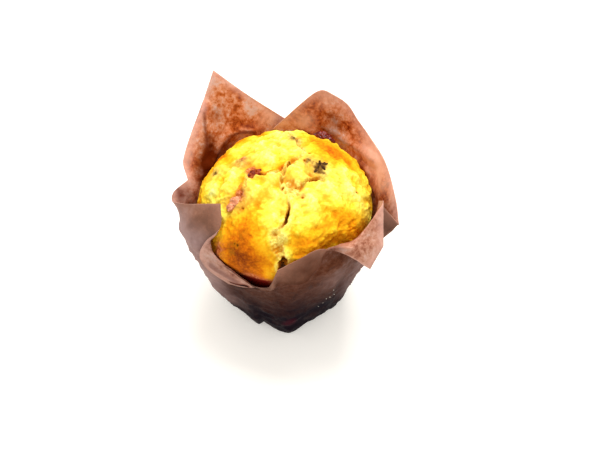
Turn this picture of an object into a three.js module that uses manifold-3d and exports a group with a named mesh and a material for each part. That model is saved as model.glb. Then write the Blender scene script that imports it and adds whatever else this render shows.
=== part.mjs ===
// A fruit muffin in a pressed paper wrap with standing and folded points.
// Millimetres, +Z up. The wrap stands on z = 0 with its foot centred on the Z axis.
// Azimuths are degrees from +X (right) through +Y (back); 270 is the front.
import * as THREE from "three";
import { mergeVertices } from "three/addons/utils/BufferGeometryUtils.js";
import Module from "manifold-3d";

const wasm = await Module();
wasm.setup();

const { abs, cos, exp, hypot, max, min, sin, sqrt, PI } = Math;
const { clamp, degToRad, lerp, smoothstep } = THREE.MathUtils;

// Paper wrap
const PAPER = 0.5;
const FOOT_RADIUS = 26;
const FOOT_BEND = 6.5;
const CREASE_BEND = 2;
const SHOULDER_RADIUS = 38;
const SHOULDER_HEIGHT = 62;
const WALL_ROWS = 4;
const CROWN_ROWS = 5;
const STATION_COLUMNS = 3;
const CROWN_CURL = 0.4;
const CRISPNESS = 0.8;
const PLEAT_LENGTH = 30;
const TUCK_LENGTH = 10;

// Loose bulges of the wrap: each grows from low on the wall, and keeps a share of its depth at the rim
const BULGES = [
  { azimuth: 200, spread: 32, depth: 6.3, from: -6, to: 22, kept: 1 },
  { azimuth: 339, spread: 32, depth: 2.6, from: 2, to: 22, kept: 0.35 },
];

// Creases pressed into the foot: they stand out from the cone and die away up the wall
const CREASES = [
  { azimuth: 243, size: 1.7, before: 40, after: 4 },
  { azimuth: 273, size: 3.2, before: 24, after: 18 },
  { azimuth: 322, size: 1.1, before: 5, after: 24 },
  { azimuth: 18, size: 1.5, before: 26, after: 6 },
  { azimuth: 66, size: 1.2, before: 6, after: 30 },
  { azimuth: 118, size: 1.6, before: 28, after: 6 },
  { azimuth: 158, size: 1.2, before: 6, after: 24 },
];
const CREASE_TOP = 44;

// Muffin
const FIT_GAP = 0.3;
const FACET_ROOM = 0.15;
const SIDE_ROWS = 4;
const DOME_RADIUS = 37;
const DOME_FOOT = 62;
const DOME_HEIGHT = 20.5;
const DOME_POWER = 2.1;
const MUFFIN_COLUMNS = 84;
const DOME_ROWS = 33;

// Where the crust's edge falls short of its round outline, and how high up the side and how far
// out on the dome that starts
const RECESSES = [
  { azimuth: 303, spread: 24, depth: 3.6 },
  { azimuth: 150, spread: 28, depth: 5.5 },
];
const RECESS_FROM = 44;
const RECESS_OUT = 0.55;

// Shares of the dome between which its relief turns from sideways to upright
const UPRIGHT = [0.06, 0.3];

// The rim of the wrap, once round from the notch at the front.
// Each station hinges off the wall at [azimuth, height] and ends at rim [azimuth, radius, height].
// On the way the sheet turns over a ridge, or else curls. pleat is how far the hinge stands out,
// or is tucked in; pinch how thin a sharp crease is pressed; crease how far the panel after it is
// bent along its diagonal; and columns how many strips lead to the next station.
function station(name, hinge, rim, options = {}) {
  return { name, hinge, rim, ridge: null, pleat: 0, pinch: 1, crease: 0, columns: STATION_COLUMNS, ...options };
}
const RIM = [
  station("notch floor", [260, 47], [259.5, 37.3, 52]),
  station("notch right", [263, 50], [262.5, 38.3, 55]),
  station("front corner", [267, 57], [267.3, 38.4, 66]),
  station("front rise", [281, 59], [280.5, 37, 71]),
  station("front right", [293, 66], [293, 36.4, 73], { pleat: -2.6 }),
  station("flap edge", [300, 69], [306, 40.4, 68.5], { ridge: [299, 36.7, 72.3], pleat: -4.6, pinch: 0.5 }),
  station("flap tip", [309, 68.5], [315.2, 47.5, 60], { ridge: [310, 41.2, 71], pleat: -4.4, crease: 1.8 }),
  station("flap corner", [320, 66], [326.2, 46.9, 65], { ridge: [321, 39.6, 73], pleat: -1.6, pinch: 0.4 }),
  station("facet tip", [328, 62], [340, 41.2, 78], { ridge: [330, 39.6, 71], pinch: 0.4 }),
  station("facet valley", [333, 60], [349, 39.3, 66.8], { pinch: 0.4 }),
  station("right point", [338, 50], [337, 49.2, 69.5], { ridge: [338, 45, 60], pleat: 3, pinch: 0.3 }),
  station("right low", [350, 58], [349, 45.6, 72.5], { ridge: [350, 44, 64.5], pleat: 1.4 }),
  station("right middle", [376, 60], [373.5, 43.2, 76]),
  station("right high", [393, 60], [394, 43.4, 79.5]),
  station("back right shoulder", [412, 60], [414.3, 44.2, 83]),
  station("back right round", [421, 60], [422.3, 45, 86]),
  station("back right tip", [428, 60], [428.7, 44.6, 87]),
  station("back right fall", [435, 60], [435, 42.8, 84]),
  station("overlap inner", [450, 60], [459, 39.5, 66.5], { pinch: 0.5 }),
  station("overlap outer", [457.5, 58], [451.5, 44.4, 69.6], { pleat: 2.8 }),
  station("back left rise", [470, 60], [470.5, 46.2, 83], { pleat: 0.8 }),
  station("back left tip", [484, 60], [484.6, 52.5, 96]),
  station("left high", [500, 60], [497, 48.2, 85]),
  station("left low", [518, 60], [520.6, 45.4, 71]),
  station("left valley", [528, 60], [528.7, 41.6, 66]),
  station("loop", [540, 60], [539.6, 45.6, 67]),
  station("left flap back", [551, 60], [550.2, 44.4, 70]),
  station("left flap tip", [565, 60], [576.4, 28.9, 79.8]),
  station("left flap side", [573, 60], [585, 35.4, 73], { columns: 1 }),
  station("cuff turn", [578, 60], [584, 38.4, 66.5]),
  station("cuff start", [588, 60], [587, 42, 62], { ridge: [587.5, 39.8, 62.9] }),
  station("cuff lower", [594, 59], [588, 41.5, 55], { ridge: [592, 39.4, 61.5] }),
  station("cuff tip", [599, 57], [595, 38.6, 47], { ridge: [598, 38.8, 58.5] }),
  station("cuff slit", [607, 52], [605.5, 37.9, 49], { ridge: [606.3, 38.4, 55.5] }),
  station("cuff end", [614.5, 48], [614.5, 38.6, 52]),
];

// Splits in the crust, as paths over the dome in plan
const CRACKS = [
  {
    name: "front",
    width: 1.9,
    depth: 3.4,
    path: [
      [3.4, -14.8],
      [2.7, -22],
      [1.2, -27.2],
      [-2, -30.5],
      [0, -34.9],
      [0.7, -37],
    ],
  },
  {
    name: "centre",
    width: 1.6,
    depth: 2.6,
    path: [
      [3.4, -14.8],
      [-1.3, -12.1],
      [-0.6, -8.9],
      [2.6, -2],
    ],
  },
  {
    name: "left",
    width: 1.5,
    depth: 2.4,
    path: [
      [1.4, -6.1],
      [-6.4, -5.3],
      [-11.3, -4.7],
      [-14.1, -12.8],
      [-17, -14.1],
    ],
  },
  {
    name: "right",
    width: 1.5,
    depth: 2,
    path: [
      [7.9, -9],
      [13.3, -4.9],
      [15.6, -6.3],
    ],
  },
  {
    name: "back",
    width: 1.4,
    depth: 1.5,
    path: [
      [2.6, -2],
      [5.1, 10.9],
      [5.5, 19],
    ],
  },
  {
    name: "low right",
    width: 1.4,
    depth: 1.8,
    path: [
      [19.9, -26.3],
      [15, -24.5],
    ],
  },
];

// Swellings of the crust between the splits: [x, y, reach, rise]
const LUMPS = [
  [-5.3, 6.2, 9, 1.2],
  [-22.5, -8.6, 8, 1.3],
  [-4.5, -16, 7, 1.3],
  [20, -19.5, 8, 1.2],
  [-13.9, -28, 7, 1.4],
  [8.6, -27, 6, 1.4],
  [18.5, -0.6, 9, 1],
  [-16, 14, 11, 1],
  [14, 18, 10, 0.8],
  [5.9, -9.6, 4.5, -0.8],
];

// Fruit pieces baked into the crust: centre in plan, how far it sits above the crust, half axes
const FRUITS = [
  { name: "fruit_left", at: [-11.6, -3], lift: -0.9, half: [2.9, 2.4, 2] },
  { name: "fruit_streak", at: [-17.4, -14], lift: -0.8, half: [3.4, 2.3, 1.8] },
  { name: "fruit_right", at: [14.6, 2.4], lift: -0.9, half: [2.4, 2.1, 1.9] },
  { name: "fruit_back", at: [17.2, 28.2], lift: -0.6, half: [3.4, 2.1, 2.4] },
  { name: "fruit_front", at: [0.4, -34.4], lift: -0.4, half: [2.8, 2, 2.7] },
];

const polar = (azimuth, radius, height) => {
  const turn = degToRad(azimuth);
  return new THREE.Vector3(radius * cos(turn), radius * sin(turn), height);
};

// Signed turn from one azimuth to another, -180 to 180
const turnTo = (from, to) => THREE.MathUtils.euclideanModulo(to - from + 180, 360) - 180;

// How far the foot is creased outwards at an azimuth
function creaseSize(azimuth) {
  return CREASES.reduce((most, { azimuth: at, size, before, after }) => {
    const turn = turnTo(at, azimuth);
    const fall = turn < 0 ? -turn / before : turn / after;
    return max(most, size * max(0, 1 - fall));
  }, 0);
}

// Radius of the bend between floor and wall: sharp at a crease, round between creases
const bendAt = (azimuth) => lerp(FOOT_BEND, CREASE_BEND, min(1, creaseSize(azimuth) / 2));

// Stand-off of the wrap from its plain cone at an azimuth and height; never inwards
function standOff(azimuth, height) {
  const bulge = BULGES.reduce((sum, { azimuth: at, spread, depth, from, to, kept }) => {
    const off = clamp(abs(turnTo(at, azimuth)) / spread, 0, 1);
    const left = lerp(1, kept, smoothstep(height, 0.6 * SHOULDER_HEIGHT, SHOULDER_HEIGHT));
    return sum + depth * left * cos((off * PI) / 2) ** 2 * smoothstep(height, from, to);
  }, 0);
  return bulge + creaseSize(azimuth) * (1 - smoothstep(height, 2, CREASE_TOP));
}

const coneRadius = (height) => lerp(FOOT_RADIUS, SHOULDER_RADIUS, height / SHOULDER_HEIGHT);

// One row of the foot: a flat floor, then halfway round the bend into the wall.
// inset moves the row into the cup, square to the sheet.
function footRow(step, bend, inset) {
  if (step < 3) {
    return { radius: ((FOOT_RADIUS - bend) * step) / 2, height: PAPER / 2 + inset };
  }
  return {
    radius: FOOT_RADIUS - bend + (bend - inset) * sin(PI / 4),
    height: PAPER / 2 + bend - (bend - inset) * cos(PI / 4),
  };
}
const FOOT_ROWS = 4;

// A closed turned body whose points are placed one by one; its first and last rows lie on the axis.
// From row backFrom on it is the back of a sheet, and its panels split like those on the front.
function turnedBody(columns, rows, place, backFrom = rows) {
  const profile = Array.from({ length: rows }, (_, row) => {
    return new THREE.Vector2(row === 0 || row === rows - 1 ? 0 : 1, row);
  });
  const body = new THREE.LatheGeometry(profile, columns);
  const points = body.attributes.position;
  for (let column = 0; column <= columns; column++) {
    for (let row = 0; row < rows; row++) {
      const p = place(column % columns, row);
      points.setXYZ(column * rows + row, p.x, p.y, p.z);
    }
  }
  for (let column = 0; column < columns; column++) {
    for (let row = backFrom; row < rows - 1; row++) {
      const a = column * rows + row;
      const b = a + rows;
      body.index.array.set([a, b, b + 1, a, b + 1, a + 1], 6 * (column * (rows - 1) + row));
    }
  }
  return solidOf(body);
}

// The manifold solid of a geometry, without the collapsed triangles at its poles
function solidOf(geometry) {
  const bare = geometry.clone();
  bare.deleteAttribute("normal");
  bare.deleteAttribute("uv");
  const merged = mergeVertices(bare, 1e-4);
  const corners = [];
  for (let i = 0; i < merged.index.count; i += 3) {
    const [a, b, c] = [0, 1, 2].map((k) => merged.index.getX(i + k));
    if (a !== b && b !== c && c !== a) {
      corners.push(a, b, c);
    }
  }
  return new wasm.Manifold(
    new wasm.Mesh({
      numProp: 3,
      vertProperties: merged.attributes.position.array,
      triVerts: new Uint32Array(corners),
    }),
  );
}

function geometryOf(solid) {
  const { vertProperties, triVerts } = solid.getMesh();
  const geometry = new THREE.BufferGeometry();
  geometry.setAttribute("position", new THREE.BufferAttribute(vertProperties, 3));
  geometry.setIndex(new THREE.BufferAttribute(triVerts, 1));
  geometry.computeVertexNormals();
  return geometry;
}

// A point of the wall where it is pleated out, or tucked in, towards a hinge
function wallPoint({ azimuth, height, pleat }, level) {
  const length = pleat > 0 ? PLEAT_LENGTH : TUCK_LENGTH;
  const out = pleat * smoothstep(level, height - length, height);
  return polar(azimuth, coneRadius(level) + standOff(azimuth, level) + out, level);
}

// One station as the numbers that are mixed along the strips to the next one
function stationColumn({ hinge, rim, ridge, pleat, pinch }, turns) {
  const crisp = ridge ? CRISPNESS : 0;
  const column = { azimuth: hinge[0] + turns, height: hinge[1], pleat, pinch, crisp };
  const end = polar(...rim);
  if (ridge) {
    return { ...column, middle: polar(...ridge), end };
  }
  const start = wallPoint(column, column.height);
  const up = start.clone().sub(wallPoint(column, column.height - 1)).normalize();
  const shoulder = start.clone().addScaledVector(up, CROWN_CURL * start.distanceTo(end));
  return { ...column, middle: new THREE.QuadraticBezierCurve3(start, shoulder, end).getPoint(0.5), end };
}

// Every column of the wrap: each station, then the strips to the next one
function wrapColumns() {
  return RIM.flatMap((station, index) => {
    const here = stationColumn(station, 0);
    const next = stationColumn(RIM[(index + 1) % RIM.length], index + 1 === RIM.length ? 360 : 0);
    const twist = next.end.clone().sub(here.end).sub(next.middle).add(here.middle);
    return Array.from({ length: station.columns }, (_, strip) => {
      const share = strip / station.columns;
      return {
        azimuth: lerp(here.azimuth, next.azimuth, share),
        height: lerp(here.height, next.height, share),
        pleat: lerp(here.pleat, next.pleat, share),
        crisp: lerp(here.crisp, next.crisp, share),
        middle: here.middle.clone().lerp(next.middle, share),
        end: here.end.clone().lerp(next.end, share),
        pinch: lerp(here.pinch, next.pinch, share),
        twist: twist.clone().multiplyScalar(station.crease),
        share,
      };
    });
  });
}

const SHEET_ROWS = FOOT_ROWS + WALL_ROWS + CROWN_ROWS;

// The middle of the sheet: floor, wall up to the hinge, then over the ridge or curl to the rim
function sheetPoint(column, row) {
  const { azimuth, height, crisp, middle, end, twist } = column;
  if (row < FOOT_ROWS) {
    const foot = footRow(row, bendAt(azimuth), 0);
    const outer = row < 2 ? 0 : standOff(azimuth, foot.height) * (row === 2 ? 0.8 : 1);
    return polar(azimuth, foot.radius + outer, foot.height);
  }
  if (row < FOOT_ROWS + WALL_ROWS) {
    const low = PAPER / 2 + bendAt(azimuth);
    return wallPoint(column, lerp(low, height, (row - FOOT_ROWS) / WALL_ROWS));
  }
  const start = wallPoint(column, height);
  const share = (row - FOOT_ROWS - WALL_ROWS) / (CROWN_ROWS - 1);
  const over = max(0, 2 * share - 1);
  const shoulder = middle.clone().multiplyScalar(2).addScaledVector(start, -0.5).addScaledVector(end, -0.5);
  const curve = new THREE.QuadraticBezierCurve3(start, shoulder, end).getPoint(share);
  const bent = share < 0.5 ? start.clone().lerp(middle, 2 * share) : middle.clone().lerp(end, over);
  const bend = min(column.share, over) - column.share * over;
  return curve.lerp(bent, crisp).addScaledVector(twist, bend);
}

function paperWrap() {
  const strips = wrapColumns();
  const sheet = strips.map((column) => {
    return Array.from({ length: SHEET_ROWS }, (_, row) => sheetPoint(column, row));
  });
  const columns = sheet.length;
  const step = (from, to) => to.clone().sub(from).normalize();
  const outwards = (column, row) => {
    if (row === 0) {
      return new THREE.Vector3(0, 0, -1);
    }
    const here = sheet[column][row];
    const along = step(sheet[column][row - 1], here);
    if (row + 1 < SHEET_ROWS) {
      along.add(step(here, sheet[column][row + 1]));
    }
    const before = step(sheet[(column + columns - 1) % columns][row], here).cross(along);
    const after = step(here, sheet[(column + 1) % columns][row]).cross(along);
    return before.normalize().add(after.normalize()).normalize();
  };
  const place = (column, row) => {
    const outside = row < SHEET_ROWS;
    const level = outside ? row : 2 * SHEET_ROWS - 1 - row;
    const half = (PAPER / 2) * (level < FOOT_ROWS + WALL_ROWS ? 1 : strips[column].pinch);
    const shift = outside ? half : -half;
    return sheet[column][level].clone().addScaledVector(outwards(column, level), shift);
  };
  return turnedBody(columns, 2 * SHEET_ROWS, place, SHEET_ROWS);
}

// Distance in plan from a point to a path
function pathDistance(x, y, path) {
  let nearest = Infinity;
  for (let i = 1; i < path.length; i++) {
    const [ax, ay] = path[i - 1];
    const [dx, dy] = [path[i][0] - ax, path[i][1] - ay];
    const share = clamp(((x - ax) * dx + (y - ay) * dy) / (dx * dx + dy * dy), 0, 1);
    nearest = min(nearest, hypot(x - ax - share * dx, y - ay - share * dy));
  }
  return nearest;
}

// Height of the crust above the smooth dome: swellings, splits and the lips beside them
function crustRelief(x, y) {
  let relief = 0;
  for (const [lx, ly, reach, rise] of LUMPS) {
    relief += rise * exp(-(((x - lx) ** 2 + (y - ly) ** 2) / reach ** 2) * 2);
  }
  for (const { width, depth, path } of CRACKS) {
    const d = pathDistance(x, y, path);
    relief -= depth * exp(-((d / width) ** 2));
    relief += 0.22 * depth * exp(-(((d - 2.4 * width) / width) ** 2));
  }
  return relief;
}

// How far the muffin falls short of its round outline at an azimuth
function recessAt(azimuth) {
  let short = 0;
  for (const { azimuth: at, spread, depth } of RECESSES) {
    short += depth * exp(-2 * (turnTo(at, azimuth) / spread) ** 2);
  }
  return short;
}

// A point of the dome from its edge (share 0) to its crown (share 1)
function domePoint(azimuth, share) {
  const lean = (share * PI) / 2;
  const short = (recessAt(azimuth) / DOME_RADIUS) * smoothstep(1 - share, RECESS_OUT, 1);
  const radius = DOME_RADIUS * cos(lean) ** (2 / DOME_POWER) * (1 - short);
  const height = DOME_FOOT + DOME_HEIGHT * sin(lean) ** (2 / DOME_POWER);
  const p = polar(azimuth, radius, height);
  const upright = smoothstep(share, ...UPRIGHT);
  const relief = crustRelief(p.x, p.y);
  const pull = (1 - upright) * min(relief, 0);
  const reach = radius > 0 ? (radius + pull) / radius : 1;
  return new THREE.Vector3(p.x * reach, p.y * reach, height + relief * upright);
}

function muffinBody() {
  const inset = PAPER / 2 + FIT_GAP + FACET_ROOM;
  const rows = FOOT_ROWS + SIDE_ROWS + DOME_ROWS + 1;
  const low = PAPER / 2 + FOOT_BEND;
  return turnedBody(MUFFIN_COLUMNS, rows, (column, row) => {
    const azimuth = (360 * column) / MUFFIN_COLUMNS;
    if (row < FOOT_ROWS) {
      const { radius, height } = footRow(row, FOOT_BEND, inset);
      return polar(azimuth, radius, height);
    }
    if (row < FOOT_ROWS + SIDE_ROWS) {
      const height = lerp(low, DOME_FOOT, (row - FOOT_ROWS) / SIDE_ROWS);
      const short = recessAt(azimuth) * smoothstep(height, RECESS_FROM, DOME_FOOT);
      return polar(azimuth, coneRadius(height) - inset - FACET_ROOM - short, height);
    }
    return domePoint(azimuth, (row - FOOT_ROWS - SIDE_ROWS) / DOME_ROWS);
  });
}

// A lumpy piece of fruit, grown all round by a margin
function fruitBody({ at: [x, y], lift, half }, margin) {
  const body = new THREE.IcosahedronGeometry(1, 2);
  const points = body.attributes.position;
  const share = 1 - min(1, hypot(x, y) / DOME_RADIUS) ** DOME_POWER;
  const height = DOME_FOOT + DOME_HEIGHT * share ** (1 / DOME_POWER) + lift;
  for (let i = 0; i < points.count; i++) {
    const p = new THREE.Vector3().fromBufferAttribute(points, i);
    const lump = 1 + 0.08 * sin(3 * p.x + x) * sin(4 * p.y + y) + 0.05 * sin(5 * p.z + x);
    const grown = new THREE.Vector3(...half).multiplyScalar(lump).addScalar(margin);
    p.multiply(grown);
    points.setXYZ(i, p.x + x, p.y + y, p.z + height);
  }
  return solidOf(body);
}

const finish = (color, roughness) => new THREE.MeshStandardMaterial({ color, roughness, metalness: 0 });
const CRUST = finish(0xe9b84a, 0.75);
const PARCHMENT = finish(0xb06a48, 0.7);
const FRUIT = finish(0x7a2410, 0.45);

function named(name, solid, material) {
  const mesh = new THREE.Mesh(geometryOf(solid), material);
  mesh.name = name;
  return mesh;
}

const sockets = FRUITS.map((fruit) => fruitBody(fruit, FIT_GAP));
const muffin = sockets.reduce((left, socket) => left.subtract(socket), muffinBody());

const part = new THREE.Group();
part.name = "muffin_in_wrap";
part.add(named("paper_case", paperWrap(), PARCHMENT));
part.add(named("muffin", muffin, CRUST));
FRUITS.forEach((fruit) => part.add(named(fruit.name, fruitBody(fruit, 0), FRUIT)));

export default part;
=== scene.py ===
"""A fruit muffin baked in a folded paper wrap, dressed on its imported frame.

Sizes below are millimetres and the meshes are metres. +Z is up, and azimuths run in degrees from
+X (right) through +Y (back), so that 270 is the front.
"""

import logging
import math
from dataclasses import dataclass, field
from enum import Enum

import bmesh
import bpy
from bpy.types import ID, Material, NodeSocket, Object, ShaderNode
from mathutils import Matrix, Vector, noise


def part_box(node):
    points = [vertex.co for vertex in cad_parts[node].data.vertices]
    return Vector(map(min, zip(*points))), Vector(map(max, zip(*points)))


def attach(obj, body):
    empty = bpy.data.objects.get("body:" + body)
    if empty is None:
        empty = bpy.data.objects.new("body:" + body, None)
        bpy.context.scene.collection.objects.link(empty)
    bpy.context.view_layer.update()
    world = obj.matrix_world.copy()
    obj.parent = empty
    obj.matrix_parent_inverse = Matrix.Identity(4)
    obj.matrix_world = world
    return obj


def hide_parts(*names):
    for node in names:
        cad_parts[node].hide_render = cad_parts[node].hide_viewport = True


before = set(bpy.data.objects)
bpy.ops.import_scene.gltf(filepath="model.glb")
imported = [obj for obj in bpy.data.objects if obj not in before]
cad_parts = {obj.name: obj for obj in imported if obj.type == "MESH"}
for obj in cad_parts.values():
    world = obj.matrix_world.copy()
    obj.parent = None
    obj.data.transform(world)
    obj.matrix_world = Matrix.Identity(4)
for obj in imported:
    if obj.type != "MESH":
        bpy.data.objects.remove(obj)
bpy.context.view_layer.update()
LOG = logging.getLogger("muffin")

MM = 0.001
Colour = tuple[float, float, float, float]
Plan = tuple[float, float]
Spot = tuple[float, float, float]
Polar = tuple[float, float, float]
Patch = tuple[float, float, float, float]

# The Mix node has several sockets of one name, so its colour sockets go by number.
MIX_SHARE, MIX_BELOW, MIX_ABOVE, MIX_COLOUR = 0, 6, 7, 2


def paint(code: str) -> Colour:
    """Turns a paint code into a linear colour.

    Args:
        code: six hexadecimal digits of an sRGB colour.

    Returns:
        Linear red, green and blue, with a full alpha.
    """
    shares = [int(code[i : i + 2], 16) / 255 for i in (0, 2, 4)]
    red, green, blue = (c / 12.92 if c <= 0.04045 else ((c + 0.055) / 1.055) ** 2.4 for c in shares)
    return red, green, blue, 1.0


def lerp(start: float, end: float, share: float) -> float:
    """Mixes two numbers."""
    return start + (end - start) * share


def ease(value: float, low: float, high: float) -> float:
    """Rises smoothly from 0 at low to 1 at high."""
    share = min(1.0, max(0.0, (value - low) / (high - low)))
    return share * share * (3 - 2 * share)


def bell(distance: float, reach: float) -> float:
    """A soft mound: 1 at no distance, nearly 0 past the reach."""
    return math.exp(-2 * (distance / reach) ** 2)


def turn_to(start: float, end: float) -> float:
    """The signed turn between two azimuths, from -180 to 180."""
    return (end - start + 180) % 360 - 180


def polar(azimuth: float, radius: float, height: float) -> Vector:
    """A point from its azimuth, radius and height."""
    angle = math.radians(azimuth)
    return Vector((radius * math.cos(angle), radius * math.sin(angle), height))


def grain(place: Vector, size: float, octaves: int = 3, shift: float = 0.0) -> float:
    """Layered noise around 0 at a point: its size is in millimetres, and a shift gives another pattern."""
    offset = Vector((shift, 1.7 * shift, 0.6 * shift))
    return noise.fractal(place / size + offset, 1.0, 2.0, octaves)


def bumps(place: Vector, size: float) -> float:
    """Height of rounded lumps of a size at a point: 0 between them, 1 on top of one."""
    near, _ = noise.voronoi(place / size)
    return min(1.0, sum(math.exp(-5 * away * away) for away in near))


class Nodes:
    """A material's node tree, with the few nodes that the finishes are made of."""

    def __init__(self, name: str) -> None:
        """Starts an empty material.

        Args:
            name: the material's name.
        """
        self.material: Material = bpy.data.materials.new(name)
        self.material.use_nodes = True
        self.tree = self.material.node_tree
        self.tree.nodes.clear()
        self.place = self.add("ShaderNodeTexCoord").outputs["Object"]

    def add(self, kind: str, **sockets: object) -> ShaderNode:
        """Adds a node.

        Args:
            kind: the node's type name.
            sockets: inputs by name, with _ for a space; a socket is linked, and a value is set.

        Returns:
            The new node.
        """
        node = self.tree.nodes.new(kind)
        for name, value in sockets.items():
            self.feed(node.inputs[name.replace("_", " ")], value)
        return node

    def feed(self, socket: NodeSocket, value: object) -> None:
        """Links or sets one input.

        Args:
            socket: the input.
            value: a socket to link, or a value to set.
        """
        if isinstance(value, NodeSocket):
            self.tree.links.new(value, socket)
        else:
            socket.default_value = value

    def attribute(self, name: str) -> NodeSocket:
        """Reads a number that the mesh carries at its points.

        Args:
            name: the number's name.

        Returns:
            The socket of the number.
        """
        node = self.add("ShaderNodeAttribute")
        node.attribute_name = name
        return node.outputs["Fac"]

    def height(self, low: float, high: float) -> NodeSocket:
        """Rises from 0 at one height above the floor to 1 at another, in millimetres."""
        parts = self.add("ShaderNodeSeparateXYZ", Vector=self.place)
        return self.fit(parts.outputs["Z"], low * MM, high * MM)

    def noise(self, size: float, detail: float = 4, rough: float = 0.5, twist: float = 0) -> NodeSocket:
        """Adds cloudy noise.

        Args:
            size: width of its features, in millimetres.
            detail: layers of finer features.
            rough: how strong the finer layers are.
            twist: how far the pattern is distorted.

        Returns:
            The socket of its strength, from 0 to 1.
        """
        node = self.add("ShaderNodeTexNoise", Vector=self.place, Scale=1 / (size * MM), Detail=detail)
        self.feed(node.inputs["Roughness"], rough)
        self.feed(node.inputs["Distortion"], twist)
        return node.outputs["Fac"]

    def cells(self, size: float) -> NodeSocket:
        """Distance from the nearest of scattered points, for pores and clods."""
        node = self.add("ShaderNodeTexVoronoi", Vector=self.place, Scale=1 / (size * MM))
        return node.outputs["Distance"]

    def fit(self, value: NodeSocket, low: float, high: float, start: float = 0, end: float = 1) -> NodeSocket:
        """Maps a range of a number to another, clamped at its ends."""
        node = self.add(
            "ShaderNodeMapRange", Value=value, From_Min=low, From_Max=high, To_Min=start, To_Max=end
        )
        return node.outputs["Result"]

    def sums(self, operation: str, first: NodeSocket, second: NodeSocket | float) -> NodeSocket:
        """Works out one step of arithmetic.

        Args:
            operation: what the step is called, such as ADD.
            first: the first number.
            second: the second number.

        Returns:
            The socket of the result.
        """
        node = self.add("ShaderNodeMath")
        node.operation = operation
        self.feed(node.inputs[0], first)
        self.feed(node.inputs[1], second)
        return node.outputs["Value"]

    def shades(self, share: NodeSocket, *stops: tuple[float, str]) -> NodeSocket:
        """Turns a number into a run of colours.

        Args:
            share: the number, from 0 to 1.
            stops: where each colour stands, and its paint code.

        Returns:
            The socket of the colour.
        """
        node = self.add("ShaderNodeValToRGB", Fac=share)
        band = node.color_ramp
        while len(band.elements) < len(stops):
            band.elements.new(0.5)
        for element, (position, code) in zip(band.elements, stops):
            element.position = position
            element.color = paint(code)
        return node.outputs["Color"]

    def over(self, share: NodeSocket | float, below: NodeSocket, above: NodeSocket | str) -> NodeSocket:
        """Lays one colour over another.

        Args:
            share: how much of the upper colour shows.
            below: the lower colour.
            above: the upper colour, or its paint code.

        Returns:
            The socket of the mixed colour.
        """
        node = self.tree.nodes.new("ShaderNodeMix")
        node.data_type = "RGBA"
        upper = paint(above) if isinstance(above, str) else above
        for index, value in ((MIX_SHARE, share), (MIX_BELOW, below), (MIX_ABOVE, upper)):
            self.feed(node.inputs[index], value)
        return node.outputs[MIX_COLOUR]

    def bump(
        self, height: NodeSocket, depth: float, strength: float, under: NodeSocket | None = None
    ) -> NodeSocket:
        """Raises a fine relief.

        Args:
            height: its height, from 0 to 1.
            depth: how deep it is, in millimetres.
            strength: share of it that shows.
            under: a coarser relief that it lies on.

        Returns:
            The socket of the turned normal.
        """
        node = self.add("ShaderNodeBump", Height=height, Distance=depth * MM, Strength=strength)
        if under is not None:
            self.feed(node.inputs["Normal"], under)
        return node.outputs["Normal"]

    def solid(
        self, colour: NodeSocket, roughness: NodeSocket | float, shine: float, relief: NodeSocket
    ) -> NodeSocket:
        """Adds the shader of a solid surface.

        Args:
            colour: its colour.
            roughness: how dull it is.
            shine: its specular level.
            relief: its turned normal.

        Returns:
            The socket of the shader.
        """
        node = self.add("ShaderNodeBsdfPrincipled", Base_Color=colour, Roughness=roughness, Normal=relief)
        self.feed(node.inputs["Specular IOR Level"], shine)
        return node.outputs["BSDF"]

    def surface(self, shader: NodeSocket) -> Material:
        """Ends the tree in a shader, and hands over the finished material."""
        self.add("ShaderNodeOutputMaterial", Surface=shader)
        return self.material


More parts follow.
